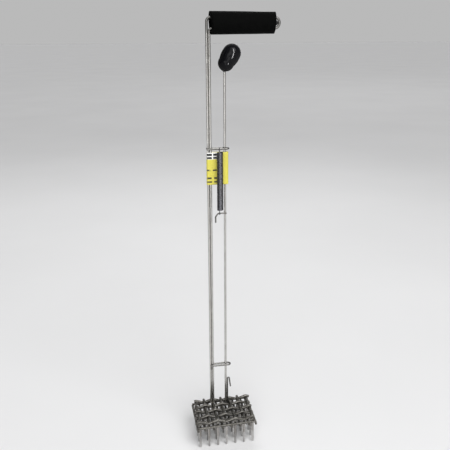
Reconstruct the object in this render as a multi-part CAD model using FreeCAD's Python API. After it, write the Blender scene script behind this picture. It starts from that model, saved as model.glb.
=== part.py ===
import FreeCAD, Part
import math
import os

from FreeCAD import Vector

# Hand core aerator made of stainless wire. A double wire stem carries a foam grip on top and a woven
# plate with 35 solid tines at the foot. A sprung push rod slides beside the stem and drives a stripper
# grid down over the tines. Millimetres, +Z up. The origin is the tip of the middle tine.

# ---------------------------------------------------------------- driving dimensions
TINE_PITCH = 19.05
TINE_COLUMNS = 7
TINE_ROWS = 5
TINE_RADIUS = 2.4
TINE_TIP_ROUND = 1.3

MESH_WIRE_RADIUS = 2.8
MESH_GAP = 0.10            # air between crossing mesh wires
MESH_BEND_RADIUS = 7.0
PLATE_Z = 60.4             # middle of the woven plate
ROW_OVERHANG_RIGHT = 8.0    # at the rear row
ROW_OVERHANG_LEFT = 2.5    # at the rear row
ROW_OVERHANG_STEP = 1.5    # the blank is out of square: each row nearer the front lies further left
COLUMN_OVERHANG_REAR = 2.6
COLUMN_OVERHANG_FRONT = 2.5
TINE_WELD_DEPTH = 1.0      # how far a tine's top end saddles into the wire above it

STRIPPER_WIRE_RADIUS = 2.4
STRIPPER_Z = 53.6          # middle of the cross wires at the right edge
STRIPPER_TILT = 1.5        # degrees, the grid hangs lower on the left
STRIPPER_HALF_WIDTH = 62.6
STRIPPER_FRONT_Y = -43.7
STRIPPER_REAR_Y = 45.4
STRIPPER_OVERHANG = 2.6

ROD_RADIUS = 2.4
ROD_X = 10.4
ROD_Y = 1.5 * TINE_PITCH   # both rods stand between the two rear tine rows
STEM_WIRE_SPACING = 4.84
STEM_X = ROD_X - 30.8
STEM_SADDLE_DEPTH = 0.8     # how far the stem's feet saddle over the column wire below them

HANDLE_Z = 867.6
HANDLE_LEG_SPACING = 20.0
HANDLE_TURN_X = ROD_X + 94.4
UPPER_BEND_RADIUS = 8.0
LOWER_BEND_RADIUS = 4.5

FOAM_LEFT_X = ROD_X - 27.2
FOAM_RIGHT_X = ROD_X + 97.2
FOAM_RADIUS = 20.8
FOAM_EDGE_ROUND = 2.0
FOAM_BORE_RADIUS = 12.5
CORE_RADIUS = 7.5
CORE_LEFT_X = FOAM_LEFT_X + 6.0
CORE_SHOULDER_X = ROD_X + 90.0
CORE_NOSE_RADIUS = 4.5
CORE_NOSE_X = ROD_X + 101.7

GUIDE_WIRE_RADIUS = 1.8
GUIDE_TURN_RADIUS = 4.6
GUIDE_STEM_OFFSET = ROD_RADIUS + GUIDE_WIRE_RADIUS + 0.02
UPPER_GUIDE_Z = 635.7
GUIDE_FRONT_OFFSET = GUIDE_STEM_OFFSET + 0.25   # middle of the front leg where the spring hangs
UPPER_GUIDE_LEFT_X = STEM_X - 5.4
UPPER_GUIDE_RIGHT_X = ROD_X + 9.0
LOWER_GUIDE_Z = 157.4
LOWER_GUIDE_LEFT_X = STEM_X - 1.0
LOWER_GUIDE_RIGHT_X = ROD_X + 11.6
LOWER_GUIDE_TAIL = 9.0

LABEL_BOTTOM_Z = 564.6
LABEL_TOP_Z = 629.1
LABEL_LEFT_X = STEM_X - 6.0
LABEL_RIGHT_X = ROD_X + 7.0
LABEL_INNER_HALF = 3.1
LABEL_THICKNESS = 0.4

SPRING_RADIUS = 6.2
SPRING_WIRE_RADIUS = 0.75
SPRING_X = ROD_X - 11.6
SPRING_EYE_RADIUS = 2.85
EYE_PLAY = 0.2
SPRING_COIL_TOP_Z = 631.0
SPRING_COIL_BOTTOM_Z = 513.0
ANCHOR_WIRE_RADIUS = 1.5
ANCHOR_Z = 505.0
ANCHOR_TAIL_X = ROD_X - 20.0
ANCHOR_TAIL_Z = 486.0
ANCHOR_BEND_RADIUS = 5.0
ANCHOR_Y = ROD_Y - ROD_RADIUS - ANCHOR_WIRE_RADIUS - 0.02

HOOK_WIRE_RADIUS = 1.5
HOOK_APEX_Z = 123.6
HOOK_BEND_RADIUS = 2.1
HOOK_LEAN = 7.0            # degrees, the barb spreads away from the rod
TRAVEL = 35.0
TRAVEL_CLEARANCE = 1.0

KNOB_LOW = Vector(ROD_X + 2.9, ROD_Y, 796.4)
KNOB_LOW_RADIUS = 15.2
KNOB_HIGH = Vector(ROD_X + 13.8, ROD_Y, 814.2)
KNOB_HIGH_RADIUS = 17.2
ROD_TOP_Z = 800.0

# ---------------------------------------------------------------- shared places
LEFT_STEM_X = STEM_X - STEM_WIRE_SPACING / 2
RIGHT_STEM_X = STEM_X + STEM_WIRE_SPACING / 2
MESH_CREST = MESH_WIRE_RADIUS + MESH_GAP
PLATE_TOP_Z = PLATE_Z + MESH_WIRE_RADIUS   # of a wire half way between two crossings
STEM_FOOT_Z = PLATE_TOP_Z - STEM_SADDLE_DEPTH
COLUMN_X = [TINE_PITCH * (i - (TINE_COLUMNS - 1) / 2) for i in range(TINE_COLUMNS)]
ROW_Y = [TINE_PITCH * (i - (TINE_ROWS - 1) / 2) for i in range(TINE_ROWS)]


# ---------------------------------------------------------------- helpers
def rounded_path(points, bend_radius):
    """Straight runs through the points, with a tangent arc of bend_radius at each inner point."""
    edges = []
    start = points[0]
    for before, corner, after in zip(points, points[1:], points[2:]):
        into = (corner - before).normalize()
        out = (after - corner).normalize()
        turn = into.getAngle(out)
        if turn < 1e-6:
            continue
        tangent = bend_radius * math.tan(turn / 2)
        arc_start = corner - into * tangent
        arc_end = corner + out * tangent
        inward = (out - into).normalize()
        depth = bend_radius * (1 / math.cos(turn / 2) - 1)
        if (arc_start - start).Length > 1e-6:
            edges.append(Part.LineSegment(start, arc_start).toShape())
        edges.append(Part.Arc(arc_start, corner + inward * depth, arc_end).toShape())
        start = arc_end
    if (points[-1] - start).Length > 1e-6:
        edges.append(Part.LineSegment(start, points[-1]).toShape())
    return Part.Wire(edges)


def round_wire(points, wire_radius, bend_radius):
    """Solid round wire bent along the points."""
    path = rounded_path(points, bend_radius)
    direction = (points[1] - points[0]).normalize()
    section = Part.Wire([Part.makeCircle(wire_radius, points[0], direction)])
    return path.makePipeShell([section], True, False)


def straight_wire(start, end, wire_radius):
    return Part.makeCylinder(wire_radius, (end - start).Length, start, end - start)


def crimped_wire(along, across, crossings, place, first_sign, overhang_start, overhang_end):
    """Wire of the woven plate: it passes over and under the wires that it crosses in turn.

    along and across are unit vectors, crossings are the places along it, place is its place across.
    """
    slope = math.atan(2 * MESH_CREST / TINE_PITCH)
    corner_height = MESH_CREST + MESH_BEND_RADIUS * (1 / math.cos(slope) - 1)
    points = []
    for index, distance in enumerate(crossings):
        sign = first_sign * (-1) ** index
        points.append(along * distance + across * place + Vector(0, 0, PLATE_Z + sign * corner_height))
    rise = 2 * corner_height / TINE_PITCH
    first = points[0] - along * overhang_start - Vector(0, 0, first_sign * rise * overhang_start)
    last_sign = first_sign * (-1) ** (len(crossings) - 1)
    last = points[-1] + along * overhang_end - Vector(0, 0, last_sign * rise * overhang_end)
    return round_wire([first] + points + [last], MESH_WIRE_RADIUS, MESH_BEND_RADIUS)


def save(name, shape):
    shape.exportStep("parts/" + name + ".step")
    box = shape.BoundBox
    print("%-26s solids %2d valid %s volume %9.1f  z %7.2f %7.2f" % (
        name, len(shape.Solids), shape.isValid(), shape.Volume, box.ZMin, box.ZMax))


# ---------------------------------------------------------------- frame wire, core and foam
def make_frame_wire(column_wires):
    """One wire: up the left stem, over into the upper leg, round the turn, back and down the right stem."""
    upper_z = HANDLE_Z + HANDLE_LEG_SPACING / 2
    lower_z = HANDLE_Z - HANDLE_LEG_SPACING / 2
    turn = HANDLE_LEG_SPACING / 2
    left_bend_x = LEFT_STEM_X + UPPER_BEND_RADIUS
    right_bend_x = RIGHT_STEM_X + LOWER_BEND_RADIUS
    upper_middle = UPPER_BEND_RADIUS * math.sqrt(0.5)
    lower_middle = LOWER_BEND_RADIUS * math.sqrt(0.5)

    def at(x, z):
        return Vector(x, ROD_Y, z)

    edges = [
        Part.LineSegment(at(LEFT_STEM_X, STEM_FOOT_Z), at(LEFT_STEM_X, upper_z - UPPER_BEND_RADIUS)),
        Part.Arc(at(LEFT_STEM_X, upper_z - UPPER_BEND_RADIUS),
                 at(left_bend_x - upper_middle, upper_z - UPPER_BEND_RADIUS + upper_middle),
                 at(left_bend_x, upper_z)),
        Part.LineSegment(at(left_bend_x, upper_z), at(HANDLE_TURN_X, upper_z)),
        Part.Arc(at(HANDLE_TURN_X, upper_z), at(HANDLE_TURN_X + turn, HANDLE_Z), at(HANDLE_TURN_X, lower_z)),
        Part.LineSegment(at(HANDLE_TURN_X, lower_z), at(right_bend_x, lower_z)),
        Part.Arc(at(right_bend_x, lower_z),
                 at(right_bend_x - lower_middle, lower_z - LOWER_BEND_RADIUS + lower_middle),
                 at(RIGHT_STEM_X, lower_z - LOWER_BEND_RADIUS)),
        Part.LineSegment(at(RIGHT_STEM_X, lower_z - LOWER_BEND_RADIUS), at(RIGHT_STEM_X, STEM_FOOT_Z)),
    ]
    path = Part.Wire([edge.toShape() for edge in edges])
    section = Part.Wire([Part.makeCircle(ROD_RADIUS, at(LEFT_STEM_X, STEM_FOOT_Z), Vector(0, 0, 1))])
    return path.makePipeShell([section], True, False).cut(Part.makeCompound(column_wires))


def make_grip_core():
    """Rod between the handle legs, stepped down to a nose with a round end."""
    start = Vector(CORE_LEFT_X, ROD_Y, HANDLE_Z)
    body = Part.makeCylinder(CORE_RADIUS, CORE_SHOULDER_X - CORE_LEFT_X, start, Vector(1, 0, 0))
    nose_start = Vector(CORE_SHOULDER_X, ROD_Y, HANDLE_Z)
    dome_x = CORE_NOSE_X - CORE_NOSE_RADIUS
    nose = Part.makeCylinder(CORE_NOSE_RADIUS, dome_x - CORE_SHOULDER_X, nose_start, Vector(1, 0, 0))
    dome = Part.makeSphere(CORE_NOSE_RADIUS, Vector(dome_x, ROD_Y, HANDLE_Z))
    return body.fuse([nose, dome]).removeSplitter()


def make_foam_grip(frame_wire):
    """Foam tube, round at its edges, with a bore over the handle legs."""
    edge = FOAM_EDGE_ROUND
    corner = edge * (1 - math.sqrt(0.5))

    def at(x, radius):
        return Vector(x, ROD_Y, HANDLE_Z + radius)

    left, right, outer, bore = FOAM_LEFT_X, FOAM_RIGHT_X, FOAM_RADIUS, FOAM_BORE_RADIUS
    outline = [
        Part.LineSegment(at(left, bore), at(left, outer - edge)),
        Part.Arc(at(left, outer - edge), at(left + corner, outer - corner), at(left + edge, outer)),
        Part.LineSegment(at(left + edge, outer), at(right - edge, outer)),
        Part.Arc(at(right - edge, outer), at(right - corner, outer - corner), at(right, outer - edge)),
        Part.LineSegment(at(right, outer - edge), at(right, bore)),
        Part.LineSegment(at(right, bore), at(left, bore)),
    ]
    face = Part.Face(Part.Wire([piece.toShape() for piece in outline]))
    tube = face.revolve(Vector(0, ROD_Y, HANDLE_Z), Vector(1, 0, 0), 360)
    return tube.cut(frame_wire)


# ---------------------------------------------------------------- guides and label
def make_guide(left_x, right_x, z, tail):
    """Wire loop that holds the push rod against the stem. Its front leg can end in a tail welded down."""
    turn_x = right_x - GUIDE_WIRE_RADIUS
    points = [
        Vector(left_x, ROD_Y + GUIDE_STEM_OFFSET, z),
        Vector(turn_x, ROD_Y + GUIDE_TURN_RADIUS + 0.05, z),
        Vector(turn_x, ROD_Y - GUIDE_TURN_RADIUS - 0.05, z),
        Vector(left_x, ROD_Y - GUIDE_STEM_OFFSET, z),
    ]
    loop = round_wire(points, GUIDE_WIRE_RADIUS, GUIDE_TURN_RADIUS)
    if tail == 0:
        return loop
    elbow = Vector(left_x, ROD_Y - GUIDE_STEM_OFFSET, z)
    knuckle = Part.makeSphere(GUIDE_WIRE_RADIUS, elbow)
    tail_wire = straight_wire(elbow, elbow - Vector(0, 0, tail), GUIDE_WIRE_RADIUS)
    return loop.fuse([knuckle, tail_wire]).removeSplitter()


def make_label():
    """Printed band: a flat sleeve round the stem and the push rod, with half round ends."""
    def stadium(half_height):
        left_x = LABEL_LEFT_X + LABEL_THICKNESS + LABEL_INNER_HALF
        right_x = LABEL_RIGHT_X - LABEL_THICKNESS - LABEL_INNER_HALF

        def at(x, y):
            return Vector(x, ROD_Y + y, LABEL_BOTTOM_Z)

        outline = [
            Part.LineSegment(at(left_x, -half_height), at(right_x, -half_height)),
            Part.Arc(at(right_x, -half_height), at(right_x + half_height, 0), at(right_x, half_height)),
            Part.LineSegment(at(right_x, half_height), at(left_x, half_height)),
            Part.Arc(at(left_x, half_height), at(left_x - half_height, 0), at(left_x, -half_height)),
        ]
        face = Part.Face(Part.Wire([piece.toShape() for piece in outline]))
        return face.extrude(Vector(0, 0, LABEL_TOP_Z - LABEL_BOTTOM_Z))

    return stadium(LABEL_INNER_HALF + LABEL_THICKNESS).cut(stadium(LABEL_INNER_HALF))


# ---------------------------------------------------------------- tine plate
def row_sign(row):
    """A row wire starts over the first column wire on even rows, and under it on odd rows."""
    return 1 if row % 2 == 0 else -1


def make_row_wires():
    wires = []
    for row, y in enumerate(ROW_Y):
        steps_from_rear = TINE_ROWS - 1 - row
        shift = ROW_OVERHANG_STEP * steps_from_rear
        wires.append(crimped_wire(Vector(1, 0, 0), Vector(0, 1, 0), COLUMN_X, y, row_sign(row),
                                  ROW_OVERHANG_LEFT + shift, ROW_OVERHANG_RIGHT - shift))
    return wires


def make_column_wires():
    wires = []
    for column, x in enumerate(COLUMN_X):
        sign = -1 if column % 2 == 0 else 1
        wires.append(crimped_wire(Vector(0, 1, 0), Vector(1, 0, 0), ROW_Y, x, sign,
                                  COLUMN_OVERHANG_FRONT, COLUMN_OVERHANG_REAR))
    return wires


def make_tine(column, row, row_wires, column_wires):
    """Solid tine with a blunt rounded tip, saddled up against the lower wire of its crossing."""
    top_z = PLATE_Z - MESH_CREST - MESH_WIRE_RADIUS + TINE_WELD_DEPTH
    rod = Part.makeCylinder(TINE_RADIUS, top_z, Vector(COLUMN_X[column], ROW_Y[row], 0))
    tip_edge = min(rod.Edges, key=lambda edge: edge.BoundBox.ZMax)
    rod = rod.makeFillet(TINE_TIP_ROUND, [tip_edge])
    row_is_over = row_sign(row) * (-1) ** column > 0
    lower_wire = column_wires[column] if row_is_over else row_wires[row]
    return rod.cut(lower_wire)


# ---------------------------------------------------------------- stripper and push rod
def tilted(shape):
    """The grid hangs lower on the left: it is turned about its right edge."""
    turned = shape.copy()
    turned.rotate(Vector(STRIPPER_HALF_WIDTH, 0, STRIPPER_Z), Vector(0, 1, 0), -STRIPPER_TILT)
    return turned


def make_cross_wires():
    """Wires between the tine rows, and one at each end of the grid."""
    places = [STRIPPER_FRONT_Y, STRIPPER_REAR_Y]
    places += [(a + b) / 2 for a, b in zip(ROW_Y, ROW_Y[1:])]
    reach = STRIPPER_HALF_WIDTH + STRIPPER_OVERHANG / 2
    return [tilted(straight_wire(Vector(-reach, y, STRIPPER_Z), Vector(reach, y, STRIPPER_Z),
                                 STRIPPER_WIRE_RADIUS)) for y in sorted(places)]


def make_long_wires():
    """Wires between the tine columns, and one at each side, welded below the cross wires."""
    places = [-STRIPPER_HALF_WIDTH, STRIPPER_HALF_WIDTH]
    places += [(a + b) / 2 for a, b in zip(COLUMN_X, COLUMN_X[1:])]
    front = STRIPPER_FRONT_Y - STRIPPER_OVERHANG
    rear = STRIPPER_REAR_Y + STRIPPER_OVERHANG
    z = STRIPPER_Z - 2 * STRIPPER_WIRE_RADIUS - MESH_GAP
    return [tilted(straight_wire(Vector(x, front, z), Vector(x, rear, z), STRIPPER_WIRE_RADIUS))
            for x in sorted(places)]


def make_push_rod(cross_wires):
    foot_z = STRIPPER_Z - (STRIPPER_HALF_WIDTH - ROD_X) * math.tan(math.radians(STRIPPER_TILT))
    rod = Part.makeCylinder(ROD_RADIUS, ROD_TOP_Z - foot_z, Vector(ROD_X, ROD_Y, foot_z))
    return rod.cut(Part.makeCompound(cross_wires))


def make_knob(push_rod):
    """Two round lobes joined by a tangent cone, leaning to the right on the push rod's end."""
    axis = KNOB_HIGH - KNOB_LOW
    length = axis.Length
    lean = math.asin((KNOB_HIGH_RADIUS - KNOB_LOW_RADIUS) / length)
    unit = Vector(axis).normalize()
    low_ring = KNOB_LOW - unit * (KNOB_LOW_RADIUS * math.sin(lean))
    high_ring = KNOB_HIGH - unit * (KNOB_HIGH_RADIUS * math.sin(lean))
    low_r = KNOB_LOW_RADIUS * math.cos(lean)
    high_r = KNOB_HIGH_RADIUS * math.cos(lean)
    cone = Part.makeCone(low_r, high_r, (high_ring - low_ring).Length, low_ring, unit)
    lobes = [Part.makeSphere(KNOB_LOW_RADIUS, KNOB_LOW), Part.makeSphere(KNOB_HIGH_RADIUS, KNOB_HIGH)]
    return cone.fuse(lobes).removeSplitter().cut(push_rod)


def make_spring_anchor():
    """Wire welded across the front of the push rod, bent down at its free end."""
    points = [
        Vector(ROD_X + ROD_RADIUS, ANCHOR_Y, ANCHOR_Z),
        Vector(SPRING_X - SPRING_EYE_RADIUS, ANCHOR_Y, ANCHOR_Z),
        Vector(ANCHOR_TAIL_X, ANCHOR_Y, ANCHOR_Z - 6.5),
        Vector(ANCHOR_TAIL_X, ANCHOR_Y, ANCHOR_TAIL_Z),
    ]
    return round_wire(points, ANCHOR_WIRE_RADIUS, ANCHOR_BEND_RADIUS)


def make_stop_hook(cross_wires):
    """Second wire welded beside the push rod. It bends over into a barb that meets the tine plate."""
    x = ROD_X + ROD_RADIUS + HOOK_WIRE_RADIUS + MESH_GAP
    foot = Vector(x, ROD_Y, STRIPPER_Z - (STRIPPER_HALF_WIDTH - x) * math.tan(math.radians(STRIPPER_TILT)))
    tip_z = PLATE_TOP_Z + TRAVEL + TRAVEL_CLEARANCE
    shoulder = Vector(x, ROD_Y, HOOK_APEX_Z - HOOK_WIRE_RADIUS - HOOK_BEND_RADIUS)
    centre = shoulder + Vector(HOOK_BEND_RADIUS, 0, 0)
    lean = math.radians(HOOK_LEAN)
    middle_angle = (math.pi + lean) / 2
    middle = centre + Vector(math.cos(middle_angle), 0, math.sin(middle_angle)) * HOOK_BEND_RADIUS
    bend_end = centre + Vector(math.cos(lean), 0, math.sin(lean)) * HOOK_BEND_RADIUS
    drop = bend_end.z - tip_z
    tip = bend_end + Vector(math.tan(lean) * drop, 0, -drop)
    path = Part.Wire([
        Part.LineSegment(foot, shoulder).toShape(),
        Part.Arc(shoulder, middle, bend_end).toShape(),
        Part.LineSegment(bend_end, tip).toShape(),
    ])
    section = Part.Wire([Part.makeCircle(HOOK_WIRE_RADIUS, foot, Vector(0, 0, 1))])
    return path.makePipeShell([section], True, False).cut(Part.makeCompound(cross_wires))


def make_spring_hook(wire_y, wire_z, coil_end_z, rear_y):
    """Eye round a crossing wire, on a shank that comes off the rear of the coil."""
    eye_centre = Vector(SPRING_X, wire_y, wire_z)
    eye = Part.makeTorus(SPRING_EYE_RADIUS, SPRING_WIRE_RADIUS, eye_centre, Vector(1, 0, 0))
    step = SPRING_EYE_RADIUS if wire_z < coil_end_z else -SPRING_EYE_RADIUS
    shank = round_wire([Vector(SPRING_X, rear_y, coil_end_z),
                        Vector(SPRING_X, rear_y, (coil_end_z + wire_z + step) / 2),
                        Vector(SPRING_X, wire_y, wire_z + step)], SPRING_WIRE_RADIUS, SPRING_WIRE_RADIUS)
    return eye.fuse(shank)


def make_return_spring():
    """Close wound extension spring: the coil as a tube, with an eye at each end."""
    axis_y = ROD_Y - GUIDE_STEM_OFFSET - SPRING_RADIUS
    rear_y = axis_y + SPRING_RADIUS - SPRING_WIRE_RADIUS
    bottom = Vector(SPRING_X, axis_y, SPRING_COIL_BOTTOM_Z)
    height = SPRING_COIL_TOP_Z - SPRING_COIL_BOTTOM_Z
    coil = Part.makeCylinder(SPRING_RADIUS, height, bottom)
    bore = Part.makeCylinder(SPRING_RADIUS - 2 * SPRING_WIRE_RADIUS, height, bottom)
    upper_eye = make_spring_hook(ROD_Y - GUIDE_FRONT_OFFSET, UPPER_GUIDE_Z - EYE_PLAY,
                                 SPRING_COIL_TOP_Z - 1, rear_y)
    lower_eye = make_spring_hook(ANCHOR_Y, ANCHOR_Z + EYE_PLAY, SPRING_COIL_BOTTOM_Z + 1, rear_y)
    return coil.cut(bore).fuse([upper_eye, lower_eye]).removeSplitter()


# ---------------------------------------------------------------- build
os.makedirs("parts", exist_ok=True)

row_wires = make_row_wires()
column_wires = make_column_wires()
frame_wire = make_frame_wire(column_wires)
save("frame_wire", frame_wire)
save("grip_core", make_grip_core())
save("foam_grip", make_foam_grip(frame_wire))
save("upper_guide", make_guide(UPPER_GUIDE_LEFT_X, UPPER_GUIDE_RIGHT_X, UPPER_GUIDE_Z, 0))
save("lower_guide", make_guide(LOWER_GUIDE_LEFT_X, LOWER_GUIDE_RIGHT_X, LOWER_GUIDE_Z, LOWER_GUIDE_TAIL))
save("label", make_label())

save("plate_row_wires", Part.makeCompound(row_wires))
save("plate_column_wires", Part.makeCompound(column_wires))
for column in range(TINE_COLUMNS):
    for row in range(TINE_ROWS):
        save("tine_%d_%d" % (row + 1, column + 1), make_tine(column, row, row_wires, column_wires))

cross_wires = make_cross_wires()
save("stripper_cross_wires", Part.makeCompound(cross_wires))
save("stripper_long_wires", Part.makeCompound(make_long_wires()))
push_rod = make_push_rod(cross_wires)
save("push_rod", push_rod)
save("knob", make_knob(push_rod))
save("spring_anchor", make_spring_anchor())
save("stop_hook", make_stop_hook(cross_wires))
save("return_spring", make_return_spring())
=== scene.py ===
import math

import bmesh
import bpy
from mathutils import Matrix, Vector, noise


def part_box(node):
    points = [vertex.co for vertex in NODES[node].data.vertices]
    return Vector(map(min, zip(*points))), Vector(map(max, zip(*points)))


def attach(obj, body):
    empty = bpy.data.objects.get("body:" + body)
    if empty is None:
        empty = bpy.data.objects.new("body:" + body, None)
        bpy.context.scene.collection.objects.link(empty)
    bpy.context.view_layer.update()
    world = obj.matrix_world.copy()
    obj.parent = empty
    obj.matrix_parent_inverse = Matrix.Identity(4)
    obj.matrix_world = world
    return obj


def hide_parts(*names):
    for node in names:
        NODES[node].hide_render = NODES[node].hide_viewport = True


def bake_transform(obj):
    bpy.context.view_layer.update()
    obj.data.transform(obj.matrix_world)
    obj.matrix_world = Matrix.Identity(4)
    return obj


# Hand core aerator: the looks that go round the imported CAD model. Metres, +Z up, origin at the tip of
# the middle tine.
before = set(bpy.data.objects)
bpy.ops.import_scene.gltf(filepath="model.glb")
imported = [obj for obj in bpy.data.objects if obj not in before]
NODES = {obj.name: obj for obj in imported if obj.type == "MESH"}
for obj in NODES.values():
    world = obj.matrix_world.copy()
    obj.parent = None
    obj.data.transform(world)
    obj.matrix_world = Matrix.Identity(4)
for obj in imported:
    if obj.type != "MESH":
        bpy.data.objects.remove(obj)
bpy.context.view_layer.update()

MM = 0.001
BODY_FRAME = "frame"
BODY_PUSHER = "pusher"
LOOKS = {}                  # finished materials by name


# ---------------------------------------------------------------- places read from the frame
def node_centre(name):
    low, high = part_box(name)
    return (Vector(low) + Vector(high)) / 2


def node_low(name):
    return Vector(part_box(name)[0])


def node_high(name):
    return Vector(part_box(name)[1])


TINES = sorted(name for name in NODES if name.startswith("tine_"))
TINE_PITCH = (node_centre("tine_1_2") - node_centre("tine_1_1")).x
ROD = node_centre("push_rod")
STEM_LEFT = node_low("frame_wire").x
FOAM_LOW = node_low("foam_grip")
FOAM_HIGH = node_high("foam_grip")
HANDLE_Z = (FOAM_LOW.z + FOAM_HIGH.z) / 2
FOAM_RADIUS = (FOAM_HIGH.z - FOAM_LOW.z) / 2
WIRE_RADIUS = (node_high("push_rod").x - node_low("push_rod").x) / 2
STEM_X = STEM_LEFT + 2 * WIRE_RADIUS

# ---------------------------------------------------------------- sizes and tones chosen here
STRIPPER_TILT = math.radians(1.5)       # the stripper grid hangs lower on the left
STRIPPER_BAR = 2.4 * MM                 # radius of its wires
KNOB_LOBE_RATIO = 15.2 / 17.2           # small lobe to large lobe
KNOB_BULGE = 1.3 * MM                   # how far the knob swells between its lobes
FOAM_BORE = 12.1 * MM                   # radius
SPRING_WIRE = 0.75 * MM                 # radius
SPRING_EYE = 2.85 * MM                  # radius of an eye's middle line
COIL_STEP = 2.03                        # distance of one turn from the next, in wire radii
BEAD_ROUGHNESS = 0.3                    # how uneven a weld bead is
LABEL_HEAD_FROM = 0.79                  # the label's white head starts at this part of its height
BACKDROP = 0.49                         # grey of the studio beyond the floor
SIDE_GREY = 0.03                        # grey that the wires mirror at the sides


# ---------------------------------------------------------------- mesh helpers
def add_object(name, mesh, smooth=True):
    piece = bpy.data.objects.new(name, mesh)
    bpy.context.scene.collection.objects.link(piece)
    if smooth:
        for polygon in mesh.polygons:
            polygon.use_smooth = True
    return piece


def mesh_from(name, vertices, faces):
    mesh = bpy.data.meshes.new(name)
    mesh.from_pydata([tuple(v) for v in vertices], [], faces)
    mesh.update()
    return mesh


def sweep(name, points, radii, sides=12):
    """Tube with closed round ends along the points. radii is one radius, or one for each point."""
    count = len(points)
    if not isinstance(radii, (list, tuple)):
        radii = [radii] * count
    vertices, faces = [], []
    tangent = (points[1] - points[0]).normalized()
    side = tangent.orthogonal().normalized()
    for index, point in enumerate(points):
        ahead = points[min(index + 1, count - 1)] - points[max(index - 1, 0)]
        new_tangent = ahead.normalized()
        side = (tangent.rotation_difference(new_tangent) @ side).normalized()
        tangent = new_tangent
        other = tangent.cross(side)
        for step in range(sides):
            angle = math.tau * step / sides
            vertices.append(point + (side * math.cos(angle) + other * math.sin(angle)) * radii[index])
    for ring in range(count - 1):
        for step in range(sides):
            following = (step + 1) % sides
            low, high = ring * sides, (ring + 1) * sides
            faces.append((low + step, low + following, high + following, high + step))
    faces.append(tuple(reversed(range(sides))))
    faces.append(tuple(range((count - 1) * sides, count * sides)))
    return mesh_from(name, vertices, faces)


def lathe(name, profile, origin, axis, sides=64):
    """Closed surface of revolution. profile is (distance along the axis, radius), and ends on the axis."""
    axis = axis.normalized()
    side = axis.orthogonal().normalized()
    other = axis.cross(side)
    vertices, faces, rings = [], [], []
    for distance, radius in profile:
        centre = origin + axis * distance
        if radius < 1e-7:
            rings.append([len(vertices)])
            vertices.append(centre)
            continue
        rings.append(list(range(len(vertices), len(vertices) + sides)))
        for step in range(sides):
            angle = math.tau * step / sides
            vertices.append(centre + (side * math.cos(angle) + other * math.sin(angle)) * radius)
    for low, high in zip(rings, rings[1:]):
        for step in range(sides):
            following = (step + 1) % sides
            if len(low) == 1:
                faces.append((low[0], high[following], high[step]))
            elif len(high) == 1:
                faces.append((low[step], low[following], high[0]))
            else:
                faces.append((low[step], low[following], high[following], high[step]))
    return mesh_from(name, vertices, faces)


def add_beads(name, beads, body):
    """Weld beads as one piece. Each bead is (centre, half sizes)."""
    joined = bmesh.new()
    for index, (centre, size) in enumerate(beads):
        made = bmesh.ops.create_icosphere(joined, subdivisions=2, radius=1.0)
        shift = Vector((7.13, 3.71, 5.37)) * (index + 1)
        for vertex in made["verts"]:
            local = vertex.co * (1 + BEAD_ROUGHNESS * noise.noise(vertex.co * 1.7 + shift))
            vertex.co = Vector(centre) + Vector(a * b for a, b in zip(local, size))
    mesh = bpy.data.meshes.new(name)
    joined.to_mesh(mesh)
    joined.free()
    piece = add_object(name, mesh)
    piece.data.materials.append(LOOKS["weld_steel"])
    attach(piece, body)
    return piece


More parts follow.
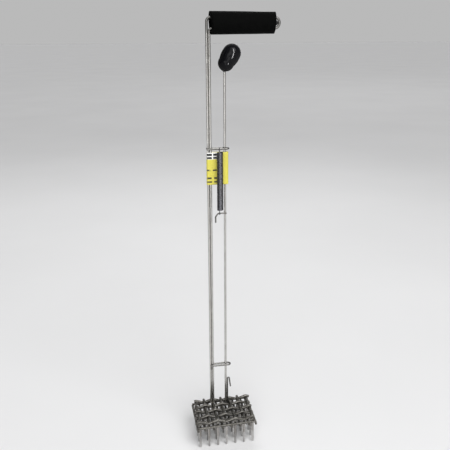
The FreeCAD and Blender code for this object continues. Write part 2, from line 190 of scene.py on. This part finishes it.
# ---------------------------------------------------------------- material helpers
class Look:
    """A material being made: one Principled shader, and short calls for the nodes that feed it."""

    def __init__(self, name, **constants):
        self.material = bpy.data.materials.new("look_" + name)
        LOOKS[name] = self.material
        self.material.use_nodes = True
        self.nodes = self.material.node_tree.nodes
        self.links = self.material.node_tree.links
        self.shader = self.nodes["Principled BSDF"]
        for socket, value in constants.items():
            self.shader.inputs[socket.replace("_", " ")].default_value = value
        self.place = self.nodes.new("ShaderNodeTexCoord").outputs["Object"]

    def stretched(self, scale):
        mapping = self.nodes.new("ShaderNodeMapping")
        mapping.inputs["Scale"].default_value = scale
        self.links.new(self.place, mapping.inputs["Vector"])
        return mapping.outputs["Vector"]

    def noise(self, scale, detail=3.0, roughness=0.55, place=None):
        texture = self.nodes.new("ShaderNodeTexNoise")
        texture.inputs["Scale"].default_value = scale
        texture.inputs["Detail"].default_value = detail
        texture.inputs["Roughness"].default_value = roughness
        self.links.new(place or self.place, texture.inputs["Vector"])
        return texture.outputs["Fac"]

    def cells(self, scale):
        texture = self.nodes.new("ShaderNodeTexVoronoi")
        texture.inputs["Scale"].default_value = scale
        self.links.new(self.place, texture.inputs["Vector"])
        return texture.outputs["Distance"]

    def ramp(self, value, stops):
        """Straight blend between two stops, each (position, grey or colour)."""
        ramp = self.nodes.new("ShaderNodeValToRGB")
        elements = ramp.color_ramp.elements
        for element, (position, colour) in zip(elements, stops):
            element.position = position
            if isinstance(colour, (int, float)):
                colour = (colour, colour, colour)
            element.color = (*colour, 1.0)
        self.links.new(value, ramp.inputs["Fac"])
        return ramp.outputs["Color"]

    def math(self, operation, first, second):
        node = self.nodes.new("ShaderNodeMath")
        node.operation = operation
        for index, value in enumerate((first, second)):
            if isinstance(value, (int, float)):
                node.inputs[index].default_value = value
            else:
                self.links.new(value, node.inputs[index])
        return node.outputs[0]

    def mix(self, factor, first, second):
        node = self.nodes.new("ShaderNodeMix")
        node.data_type = "RGBA"
        for index, value in ((0, factor), (6, first), (7, second)):
            if isinstance(value, tuple):
                node.inputs[index].default_value = (*value, 1.0)
            elif isinstance(value, (int, float)):
                node.inputs[index].default_value = value
            else:
                self.links.new(value, node.inputs[index])
        return node.outputs[2]

    def axis(self, letter):
        split = self.nodes.new("ShaderNodeSeparateXYZ")
        self.links.new(self.place, split.inputs[0])
        return split.outputs[letter]

    def feed(self, socket, value):
        self.links.new(value, self.shader.inputs[socket])

    def fed(self, socket):
        """What feeds a socket of the shader now."""
        return self.shader.inputs[socket].links[0].from_socket

    def bump(self, height, distance, strength, under=None):
        node = self.nodes.new("ShaderNodeBump")
        node.inputs["Distance"].default_value = distance
        node.inputs["Strength"].default_value = strength
        self.links.new(height, node.inputs["Height"])
        if under is not None:
            self.links.new(under, node.inputs["Normal"])
        self.links.new(node.outputs["Normal"], self.shader.inputs["Normal"])
        return node.outputs["Normal"]


def between(look, value, low, high):
    """1 where value lies between low and high, else 0."""
    return look.math("MULTIPLY", look.math("GREATER_THAN", value, low), look.math("LESS_THAN", value, high))


def drawn_finish(name, roughness, grain_scale):
    """Wire as it leaves the die: fine lines along its length and an uneven sheen."""
    look = Look(name, Metallic=1.0)
    lines = look.noise(2600, 2, place=look.stretched(grain_scale))
    cloud = look.noise(38, 4, 0.6)
    look.feed("Roughness", look.ramp(cloud, [(0.3, roughness * 0.8), (0.75, roughness * 1.5)]))
    look.bump(lines, 0.06 * MM, 0.5)
    return look, lines, cloud


def drawn_steel(name, light, dark, roughness, grain_scale, stains):
    """Stainless wire: drawn finish in two tones, with a few dull stains."""
    look, lines, cloud = drawn_finish(name, roughness, grain_scale)
    base = look.mix(look.ramp(lines, [(0.35, 0.0), (0.68, 1.0)]), dark, light)
    stain = look.math("MULTIPLY", look.ramp(cloud, [(0.50, 0.0), (0.72, 1.0)]), stains)
    look.feed("Base Color", look.mix(stain, base, (0.17, 0.155, 0.135)))
    return look


def make_steels():
    along_x, along_z, all_ways = (0.03, 1.0, 1.0), (1.0, 1.0, 0.03), (1.0, 1.0, 1.0)
    stem = drawn_steel("stem_steel", (0.62, 0.61, 0.59), (0.42, 0.41, 0.39), 0.17, along_z, 0.2)
    base, sheen = stem.fed("Base Color"), stem.fed("Roughness")
    # the wire is darker and rougher at the bends near the handle, which damps their highlights
    darker_near_handle = stem.ramp(stem.axis("Z"), [(HANDLE_Z - 20 * MM, 0.0), (HANDLE_Z - 14 * MM, 1.0)])
    stem.feed("Base Color", stem.mix(darker_near_handle, base, (0.21, 0.205, 0.195)))
    stem.feed("Roughness", stem.math("ADD", sheen, stem.math("MULTIPLY", darker_near_handle, 0.22)))
    drawn_steel("guide_steel", (0.23, 0.226, 0.218), (0.11, 0.107, 0.10), 0.24, along_x, 0.3)
    drawn_steel("spring_steel", (0.20, 0.20, 0.215), (0.085, 0.085, 0.095), 0.24, all_ways, 0.3)

    # tines: bright and dark streaks, partly wear where the soil rubs and partly painted highlight and
    # painted shade; higher up, painted shade under the plate, mottled with grit
    tine, _, cloud = drawn_finish("tine_steel", 0.2, along_z)
    streaks = tine.noise(520, 2, place=tine.stretched((1.0, 1.0, 0.02)))
    grit = tine.noise(700, 4, 0.7)
    # the streaks are partly wear and partly a painted highlight and painted shade, in random stripes along
    # the tines
    worn = tine.mix(tine.ramp(streaks, [(0.40, 0.0), (0.60, 1.0)]), (0.23, 0.225, 0.22), (0.76, 0.75, 0.74))
    shade_and_grit = tine.mix(tine.ramp(grit, [(0.42, 0.0), (0.6, 1.0)]), (0.30, 0.275, 0.24), (0.14, 0.12, 0.095))
    # painted shade: the tines darken towards their tops, where the plate shades them, mottled by the grit
    # noise
    height = tine.math("MULTIPLY", tine.axis("Z"), 20.0)
    plate_shade_line = tine.math("ADD", height, tine.math("MULTIPLY", cloud, 0.9))
    tine.feed("Base Color", tine.mix(tine.ramp(plate_shade_line, [(0.95, 0.0), (1.6, 0.5)]), worn, shade_and_grit))

    mesh = Look("mesh_steel", Metallic=1.0)
    crust = mesh.noise(420, 5, 0.65)
    cloud = mesh.ramp(mesh.noise(60, 3), [(0.35, 0.0), (0.65, 1.0)])
    worn = mesh.mix(cloud, (0.11, 0.106, 0.098), (0.235, 0.228, 0.211))
    crusted = mesh.ramp(crust, [(0.45, 0.0), (0.62, 1.0)])
    mesh.feed("Base Color", mesh.mix(crusted, worn, (0.07, 0.064, 0.054)))
    mesh.feed("Roughness", mesh.ramp(crust, [(0.35, 0.30), (0.65, 0.68)]))
    mesh.bump(crust, 0.25 * MM, 0.7)

    weld = Look("weld_steel", Metallic=1.0)
    ripple = weld.noise(900, 3, 0.6)
    weld.feed("Base Color", weld.ramp(ripple, [(0.3, (0.08, 0.073, 0.066)), (0.7, (0.34, 0.32, 0.29))]))
    weld.feed("Roughness", weld.ramp(ripple, [(0.3, 0.32), (0.7, 0.58)]))
    weld.bump(ripple, 0.3 * MM, 0.8)


def make_plastics():
    foam = Look("foam", Specular_IOR_Level=0.05)
    pores = foam.cells(1500)
    mottle = foam.noise(160, 4, 0.6)
    foam.feed("Base Color", foam.ramp(mottle, [(0.3, (0.0010, 0.0011, 0.0010)),
                                               (0.75, (0.0026, 0.0027, 0.0025))]))
    foam.feed("Roughness", foam.ramp(mottle, [(0.3, 0.85), (0.7, 0.98)]))
    first = foam.bump(pores, 0.35 * MM, 0.6)
    foam.bump(mottle, 0.9 * MM, 0.35, under=first)

    core = Look("core_plastic", Specular_IOR_Level=0.3)
    scuff = core.noise(240, 4)
    core.feed("Base Color", core.ramp(scuff, [(0.3, (0.004, 0.004, 0.004)), (0.7, (0.010, 0.010, 0.010))]))
    core.feed("Roughness", core.ramp(scuff, [(0.3, 0.38), (0.7, 0.6)]))
    core.bump(scuff, 0.2 * MM, 0.3)

    knob = Look("knob_plastic", Specular_IOR_Level=0.09)
    orange = knob.noise(190, 2)
    scratch = knob.noise(900, 3, place=knob.stretched((1.0, 0.2, 0.15)))
    knob.feed("Base Color", knob.ramp(orange, [(0.3, (0.0012, 0.0012, 0.0015)),
                                               (0.7, (0.0026, 0.0026, 0.0030))]))
    # the gloss softens where the surface is seen edge on
    facing = knob.nodes.new("ShaderNodeLayerWeight").outputs["Facing"]
    grazing = knob.math("MULTIPLY", knob.ramp(facing, [(0.28, 0.0), (0.55, 1.0)]), 0.5)
    knob.feed("Roughness", knob.math("ADD", knob.ramp(scratch, [(0.45, 0.11), (0.7, 0.19)]), grazing))
    knob.bump(orange, 0.2 * MM, 0.08)


def make_label_paper():
    """Laminated paper: a white head with two black bars, and broken rules on the yellow of the front."""
    low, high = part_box("label")
    paper = Look("label", Coat_Weight=0.35, Coat_Roughness=0.22)
    across = paper.math("DIVIDE", paper.math("SUBTRACT", paper.axis("X"), low[0]), high[0] - low[0])
    upward = paper.math("DIVIDE", paper.math("SUBTRACT", paper.axis("Z"), low[2]), high[2] - low[2])
    front = paper.math("LESS_THAN", paper.axis("Y"), ROD.y)
    printed = paper.math("MULTIPLY", front, between(paper, across, 0.015, 0.47))

    fibres = paper.noise(900, 3, 0.6)
    grime = paper.noise(70, 4, 0.65)
    tint = paper.ramp(fibres, [(0.3, 0.0), (0.7, 1.0)])
    yellow = paper.mix(tint, (0.56, 0.505, 0.055), (0.65, 0.585, 0.08))
    head = paper.math("MULTIPLY", front, paper.math("GREATER_THAN", upward, LABEL_HEAD_FROM))
    head = paper.math("MULTIPLY", head, paper.math("LESS_THAN", across, 0.5))
    paint = paper.mix(head, yellow, (0.80, 0.80, 0.77))

    gap = between(paper, across, 0.245, 0.30)
    bars = paper.math("ADD", between(paper, upward, 0.896, 0.966), between(paper, upward, 0.802, 0.864))
    bars = paper.math("MULTIPLY", bars, paper.math("SUBTRACT", 1.0, gap))
    paint = paper.mix(paper.math("MULTIPLY", bars, printed), paint, (0.008, 0.008, 0.009))

    dashes = paper.noise(270, 1, place=paper.stretched((1.0, 0.0, 0.06)))
    upper_rule, lower_rule = between(paper, upward, 0.178, 0.238), between(paper, upward, 0.066, 0.116)
    low_rules = paper.math("ADD", upper_rule, lower_rule)
    low_rules = paper.math("MULTIPLY", low_rules, paper.ramp(dashes, [(0.45, 0.0), (0.47, 1.0)]))
    middle_rule = between(paper, upward, 0.430, 0.480)
    middle_rule = paper.math("MULTIPLY", middle_rule, paper.ramp(dashes, [(0.42, 0.0), (0.45, 1.0)]))
    rules = paper.math("MULTIPLY", paper.math("ADD", low_rules, middle_rule), printed)
    paint = paper.mix(rules, paint, (0.045, 0.04, 0.012))

    soiled = paper.ramp(grime, [(0.55, 0.0), (0.78, 0.3)])
    paper.feed("Base Color", paper.mix(soiled, paint, (0.20, 0.17, 0.06)))
    paper.feed("Roughness", paper.ramp(grime, [(0.3, 0.35), (0.7, 0.55)]))
    paper.bump(fibres, 0.08 * MM, 0.4)


def assign(names, material_name):
    for name in names:
        mesh = NODES[name].data
        mesh.materials.clear()
        mesh.materials.append(LOOKS[material_name])


def carry_over_nodes():
    """CAD nodes whose shape is already right only get their finish."""
    assign(["frame_wire", "push_rod"], "stem_steel")
    assign(["upper_guide", "lower_guide", "spring_anchor", "stop_hook"], "guide_steel")
    assign(TINES, "tine_steel")
    assign(["plate_row_wires", "plate_column_wires"], "mesh_steel")
    assign(["stripper_cross_wires", "stripper_long_wires"], "mesh_steel")
    assign(["grip_core"], "core_plastic")


# ---------------------------------------------------------------- pieces
def finish_piece(piece, material_name, body, *nodes):
    piece.data.materials.append(LOOKS[material_name])
    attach(piece, body)
    if nodes:
        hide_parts(*nodes)
    return piece


def smooth_step(value):
    value = max(0.0, min(1.0, value))
    return value * value * (3 - 2 * value)


def make_foam():
    """Foam tube: cut a little out of square, worn slimmer towards the free end, with soft dented edges."""
    left, right = FOAM_LOW.x, FOAM_HIGH.x
    radius, bore, edge, lip = FOAM_RADIUS, FOAM_BORE, 2.4 * MM, 0.8 * MM
    corner = [math.pi / 2 * step / 6 for step in range(7)]
    profile = [(left + lip, bore), (left, bore + lip)]
    profile += [(left + edge * (1 - math.sin(a)), radius - edge + edge * math.sin(a)) for a in corner]
    rings = 64
    start, end = left + edge, right - edge
    profile += [(start + (end - start) * step / rings, radius) for step in range(1, rings)]
    profile += [(right - edge * (1 - math.cos(a)), radius - edge + edge * math.cos(a)) for a in corner]
    profile += [(right, bore + lip), (right - lip, bore)]
    profile += [(right - lip - (right - left - 2 * lip) * step / 16, bore) for step in range(1, 16)]

    sides = 96
    vertices, faces = [], []
    for x, distance in profile:
        along = (x - left) / (right - left)
        wall = (distance - bore) / (radius - bore)
        at_left = smooth_step(1 - along / 0.12)
        at_right = smooth_step((along - 0.7) / 0.3)
        for step in range(sides):
            angle = math.tau * step / sides
            rear, upper = math.cos(angle), math.sin(angle)
            place = Vector((x * 26, rear * 0.55, upper * 0.55))
            dent = 0.5 + 0.5 * noise.noise(place)
            ripple = 0.5 + 0.5 * noise.noise(place * 5 + Vector((3.1, 0, 0)))
            worn = 0.122 * smooth_step(along) + wall * (0.045 * dent + 0.022 * ripple)
            reach = bore + (distance - bore) * (1 - worn)
            shift = at_left * 1.3 * MM * (1 - upper)
            shift -= at_right * (1.5 * MM * (1 - rear) + 0.9 * MM * (1 - upper)) * (0.5 + 0.5 * wall)
            vertices.append(Vector((x + shift, ROD.y + reach * rear, HANDLE_Z + reach * upper)))
    count = len(profile)
    for ring in range(count):
        low, high = ring * sides, (ring + 1) % count * sides
        for step in range(sides):
            following = (step + 1) % sides
            faces.append((low + step, high + step, high + following, low + following))
    foam = add_object("foam_sleeve", mesh_from("foam_sleeve", vertices, faces))
    finish_piece(foam, "foam", BODY_FRAME, "foam_grip")


def make_knob():
    """Dipped plastic knob: a small round end on the rod swelling into a larger one that leans right."""
    low, high = node_low("knob"), node_high("knob")
    big = (high.y - low.y) / 2
    small = big * KNOB_LOBE_RATIO
    big_centre = Vector((high.x - big, ROD.y, high.z - big))
    small_centre = Vector((low.x + small, ROD.y, low.z + small))
    axis = big_centre - small_centre
    length = axis.length
    lean = math.asin((big - small) / length)
    profile = [(-small, 0.0)]
    for step in range(1, 21):
        angle = (math.pi / 2 + lean) * step / 20
        profile.append((-small * math.cos(angle), small * math.sin(angle)))
    for step in range(1, 12):
        share = step / 12
        flat = (small + (big - small) * share) * math.cos(lean) + KNOB_BULGE * math.sin(math.pi * share)
        profile.append((small * math.sin(lean) + (length - (small - big) * math.sin(lean)) * share, flat))
    for step in range(21):
        angle = math.pi / 2 + lean + (math.pi / 2 - lean) * step / 20
        profile.append((length - big * math.cos(angle), big * math.sin(angle)))
    profile[-1] = (length + big, 0.0)
    mesh = lathe("knob_dip", profile, small_centre, axis, 96)
    for vertex in mesh.vertices:
        outward = (vertex.co - (small_centre + big_centre) / 2).normalized()
        vertex.co -= outward * 0.12 * MM * (0.5 + 0.5 * noise.noise(vertex.co * 55))
    knob = add_object("knob_dip", mesh)
    finish_piece(knob, "knob_plastic", BODY_PUSHER, "knob")

    skirt_low = low.z - 1.4 * MM
    points = [Vector((ROD.x, ROD.y, skirt_low + step * 0.7 * MM)) for step in range(7)]
    radii = [(2.15 + 0.12 * step * step) * MM for step in range(7)]
    skirt = add_object("knob_skirt", sweep("knob_skirt", points, radii, 32))
    finish_piece(skirt, "knob_plastic", BODY_PUSHER)


def make_label():
    """Printed sleeve: it sags in between the stem and the rod, and its lower edge has started to lift."""
    low, high = node_low("label"), node_high("label")
    half, thick = (high.y - low.y) / 2, 0.4 * MM
    left, right = low.x + half, high.x - half
    outline = []
    for step in range(41):
        outline.append((left + (right - left) * step / 40, -1.0, 0.0))
    for step in range(1, 12):
        outline.append((right, -math.cos(math.pi * step / 12), math.sin(math.pi * step / 12)))
    for step in range(41):
        outline.append((right - (right - left) * step / 40, 1.0, 0.0))
    for step in range(1, 12):
        outline.append((left, math.cos(math.pi * step / 12), -math.sin(math.pi * step / 12)))
    rows, count = 40, len(outline)
    vertices, faces = [], []
    for layer in (0.0, thick):
        for row in range(rows + 1):
            share = row / rows
            for x, side, end in outline:
                across = (x - left) / (right - left)
                wave = 0.7 + 0.3 * noise.noise(Vector((x * 90, side, share * 3)))
                sag = 0.55 * MM * math.sin(math.pi * across) ** 2 * wave
                curl = noise.noise(Vector((x * 300, side, 0)))
                lift = 0.12 * MM * smooth_step(1 - share / 0.12) * curl
                if end:
                    sag = lift = 0.0
                reach = half - layer - 0.15 * MM
                vertices.append(Vector((x + end * reach, ROD.y + side * (reach - sag + lift),
                                        low.z + (high.z - low.z) * share)))
    layer_size = (rows + 1) * count
    for row in range(rows):
        for step in range(count):
            following = (step + 1) % count
            a, b = row * count + step, row * count + following
            faces.append((a, b, b + count, a + count))
            faces.append((layer_size + b, layer_size + a, layer_size + a + count, layer_size + b + count))
    for step in range(count):
        following = (step + 1) % count
        faces.append((following, step, layer_size + step, layer_size + following))
        top = rows * count
        faces.append((top + step, top + following, layer_size + top + following, layer_size + top + step))
    label = add_object("label_sleeve", mesh_from("label_sleeve", vertices, faces))
    finish_piece(label, "label", BODY_FRAME, "label")


def make_coil():
    """Close wound spring with an eye at each end."""
    low, high = node_low("return_spring"), node_high("return_spring")
    wire, eye = SPRING_WIRE, SPRING_EYE
    outer = (high.x - low.x) / 2
    mean = outer - wire
    x = (low.x + high.x) / 2
    axis_y = low.y + outer
    upper_y = node_low("upper_guide").y + 1.55 * MM
    lower_y = node_centre("spring_anchor").y
    upper_z, lower_z = high.z - wire - eye, low.z + wire + eye
    coil_top, coil_bottom = upper_z - 5.2 * MM, lower_z + 8.5 * MM
    turns = round((coil_top - coil_bottom) / (COIL_STEP * wire))

    def eye_points(angles, eye_y, eye_z):
        """Nearly closed eye in the YZ plane. Its ends pass each other by a little in X."""
        last = len(angles) - 1
        return [Vector((x + 0.25 * MM * (step / last - 0.5), eye_y + eye * math.cos(angle),
                        eye_z + eye * math.sin(angle))) for step, angle in enumerate(angles)]

    points = eye_points([math.radians(-60 + 330 * step / 19) for step in range(20)], upper_y, upper_z)
    steps = turns * 24
    for step in range(steps + 1):
        angle = math.tau * step / 24
        points.append(Vector((x + mean * math.sin(angle), axis_y + mean * math.cos(angle),
                              coil_top - (coil_top - coil_bottom) * step / steps)))
    rear = points[-1]
    eye_top = lower_z + eye
    for share in (0.25, 0.5, 0.75):
        points.append(Vector((x, rear.y + (lower_y - rear.y) * share, rear.z + (eye_top - rear.z) * share)))
    points += eye_points([math.radians(90 - 330 * step / 19) for step in range(20)], lower_y, lower_z)
    coil = add_object("spring_coil", sweep("spring_coil", points, wire, 8))
    coil.data.materials.append(LOOKS["spring_steel"])
    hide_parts("return_spring")
    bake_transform(coil)


def bead(x, y, z, *half_sizes):
    """A weld bead for add_beads, with its half sizes in millimetres."""
    return (x, y, z), tuple(size * MM for size in half_sizes)


def make_tine_welds():
    beads = []
    for name in TINES:
        centre, top = node_centre(name), node_high(name).z
        for side in (-1, 1):
            beads.append(bead(centre.x + side * 1.5 * MM, centre.y - side * 0.8 * MM, top - 0.5 * MM,
                              1.9, 1.9, 1.3))
    add_beads("tine_welds", beads, BODY_FRAME)


def make_stem_welds():
    """The stem's feet, both guides on the stem, and spots that hold the two stem wires together."""
    spot_heights = (0.21, 0.33, 0.46, 0.71, 0.80)
    foot_z = node_low("frame_wire").z
    guide_radius = 1.8 * MM
    upper, lower = node_centre("upper_guide").z, node_high("lower_guide").z - guide_radius
    beads = []
    for side in (-1, 1):
        wire_x = STEM_X + side * WIRE_RADIUS
        beads.append(bead(wire_x, ROD.y - 1.2 * MM, foot_z + 0.8 * MM, 2.5, 2.2, 1.7))
        beads.append(bead(wire_x, ROD.y + 1.4 * MM, foot_z + 0.6 * MM, 2.4, 2.0, 1.5))
        for height in (upper, lower):
            for leg in (-1, 1):
                beads.append(bead(wire_x, ROD.y + leg * 1.9 * MM, height + 1.7 * MM, 1.5, 0.9, 0.8))
    for height in spot_heights:
        beads.append(bead(STEM_X, ROD.y - 0.9 * MM, height, 0.9, 0.7, 3.2))
    add_beads("stem_welds", beads, BODY_FRAME)


def make_stripper_welds():
    """One bead at each crossing of the stripper grid."""
    low, high = node_low("stripper_cross_wires"), node_high("stripper_cross_wires")
    left, right = node_low("stripper_long_wires").x, node_high("stripper_long_wires").x
    cross_y = [low.y + STRIPPER_BAR, high.y - STRIPPER_BAR]
    cross_y += [TINE_PITCH * (step - 1.5) for step in range(4)]
    long_x = [left + STRIPPER_BAR, right - STRIPPER_BAR]
    long_x += [TINE_PITCH * (step - 2.5) for step in range(6)]
    beads = []
    for y in cross_y:
        for x in long_x:
            z = high.z - STRIPPER_BAR - (high.x - x) * math.tan(STRIPPER_TILT) - STRIPPER_BAR
            beads.append(bead(x, y, z, 2.3, 2.3, 0.9))
    add_beads("stripper_welds", beads, BODY_PUSHER)


def make_rod_welds():
    """Push rod and stop hook on the grid, the hook beside the rod, and the spring anchor across it."""
    hook_heights = (0.076, 0.094, 0.112)
    foot_z = node_low("push_rod").z + 3.4 * MM
    hook_x = ROD.x + 2 * WIRE_RADIUS
    front_y = ROD.y - WIRE_RADIUS
    anchor_z = node_high("spring_anchor").z
    beads = [bead(ROD.x, ROD.y - 1.5 * MM, foot_z, 2.9, 1.8, 1.6),
             bead(hook_x, ROD.y + 1.3 * MM, foot_z, 2.6, 1.7, 1.5),
             bead(ROD.x, front_y, anchor_z - 0.9 * MM, 2.2, 1.3, 1.0),
             bead(ROD.x + 1.2 * MM, front_y, anchor_z - 3.0 * MM, 1.7, 1.3, 1.0)]
    for height in hook_heights:
        beads.append(bead(ROD.x + WIRE_RADIUS, ROD.y - 1.1 * MM, height, 0.9, 0.8, 2.6))
    add_beads("rod_welds", beads, BODY_PUSHER)


make_steels()
make_plastics()
make_label_paper()
carry_over_nodes()
make_foam()
make_knob()
make_label()
make_coil()
make_tine_welds()
make_stem_welds()
make_stripper_welds()
make_rod_welds()


# ---------------------------------------------------------------- floor, lights and camera
def make_floor():
    floor = Look("floor_paint", Specular_IOR_Level=0.1)
    tone = floor.noise(1.3, 4, 0.5)
    floor.feed("Base Color", floor.ramp(tone, [(0.3, (0.745, 0.745, 0.75)), (0.7, (0.775, 0.775, 0.78))]))
    floor.feed("Roughness", floor.ramp(tone, [(0.3, 0.75), (0.7, 0.85)]))
    half = 60.0
    corners = [(-half, -half, 0), (half, -half, 0), (half, half, 0), (-half, half, 0)]
    plane = add_object("floor", mesh_from("floor", corners, [(0, 1, 2, 3)]), smooth=False)
    plane.data.materials.append(floor.material)


def make_studio():
    """Even grey behind the floor. What the wires mirror darkens towards both sides."""
    world = bpy.data.worlds.new("studio")
    bpy.context.scene.world = world
    world.use_nodes = True
    nodes, links = world.node_tree.nodes, world.node_tree.links
    split = nodes.new("ShaderNodeSeparateXYZ")
    links.new(nodes.new("ShaderNodeTexCoord").outputs["Generated"], split.inputs[0])
    sideways = nodes.new("ShaderNodeMath")
    sideways.operation = "ABSOLUTE"
    links.new(split.outputs["X"], sideways.inputs[0])
    ramp = nodes.new("ShaderNodeValToRGB")
    for element, (position, grey) in zip(ramp.color_ramp.elements, [(0.30, BACKDROP), (0.62, SIDE_GREY)]):
        element.position = position
        element.color = (grey, grey, grey, 1)
    links.new(sideways.outputs[0], ramp.inputs["Fac"])
    seen = nodes.new("ShaderNodeMix")
    seen.data_type = "RGBA"
    links.new(nodes.new("ShaderNodeLightPath").outputs["Is Camera Ray"], seen.inputs[0])
    links.new(ramp.outputs["Color"], seen.inputs[6])
    seen.inputs[7].default_value = (BACKDROP, BACKDROP, BACKDROP, 1)
    links.new(seen.outputs[2], nodes["Background"].inputs["Color"])


def add_lamp(name, light):
    lamp = bpy.data.objects.new(name, light)
    bpy.context.scene.collection.objects.link(lamp)
    return lamp


def add_area_light(name, place, target, size, watts, height=None, roll=0.0):
    """Area light at place, turned to target. With a height it is an upright strip, leaning by roll."""
    light = bpy.data.lights.new(name, "AREA")
    light.energy = watts
    light.size = size
    if height:
        light.shape = "RECTANGLE"
        light.size_y = height
    lamp = add_lamp(name, light)
    aim = (Vector(target) - Vector(place)).to_track_quat("-Z", "Y").to_matrix()
    lamp.location = place
    lamp.rotation_euler = (aim @ Matrix.Rotation(roll, 3, "Z")).to_euler()
    lamp.visible_camera = False
    return lamp


def make_lights():
    middle, tips, knob = (0.0, 0.0, 0.40), (0.0, 0.0, 0.02), (0.024, 0.029, 0.81)
    add_area_light("key_softbox", (0.8, -1.3, 2.4), middle, 1.3, 26)
    add_area_light("fill_softbox", (-1.0, -1.8, 1.3), middle, 1.0, 7)
    add_area_light("rear_softbox", (0.2, 1.9, 2.3), middle, 1.4, 17)
    add_area_light("low_softbox", (-0.45, -1.7, 0.42), tips, 0.7, 4)
    add_area_light("back_softbox", (3.0, 7.0, 4.0), (3.0, 7.001, 0.0), 4.0, 16)

    # the strip draws the highlight on the knob, and lights nothing else
    strip = add_area_light("strip_light", (0.115, -0.27, 0.90), knob, 0.03, 4.2, height=0.46,
                           roll=math.radians(4))
    lit = bpy.data.collections.new("strip_receivers")
    lit.objects.link(bpy.data.objects["knob_dip"])
    strip.light_linking.receiver_collection = lit

    sun = bpy.data.lights.new("front_glow", "SUN")
    sun.energy = 1.75
    sun.angle = math.radians(70)
    add_lamp("front_glow", sun).rotation_euler = (math.radians(50), 0, math.radians(8))


def make_camera():
    """The camera stands in front, a little to the left, about level with the handle, and looks down."""
    pitch, yaw, roll = math.radians(17.968), math.radians(10.437), math.radians(-0.224)
    forward = Vector((math.sin(yaw) * math.cos(pitch), math.cos(yaw) * math.cos(pitch), -math.sin(pitch)))
    level = Vector((math.cos(yaw), -math.sin(yaw), 0))
    upright = level.cross(forward)
    right = math.cos(roll) * level + math.sin(roll) * upright
    up = math.cos(roll) * upright - math.sin(roll) * level
    camera_data = bpy.data.cameras.new("camera")
    camera_data.lens = 47.03
    camera_data.sensor_width = 36.0
    camera_data.clip_end = 200.0
    camera = bpy.data.objects.new("camera", camera_data)
    bpy.context.scene.collection.objects.link(camera)
    place = Vector((ROD.x - 0.20627, ROD.y - 1.11907, HANDLE_Z - 0.02009))
    camera.matrix_world = Matrix.Translation(place) @ Matrix((right, up, -forward)).transposed().to_4x4()
    bpy.context.scene.camera = camera


make_floor()
make_studio()
make_lights()
make_camera()
bpy.context.scene.view_settings.view_transform = "Standard"
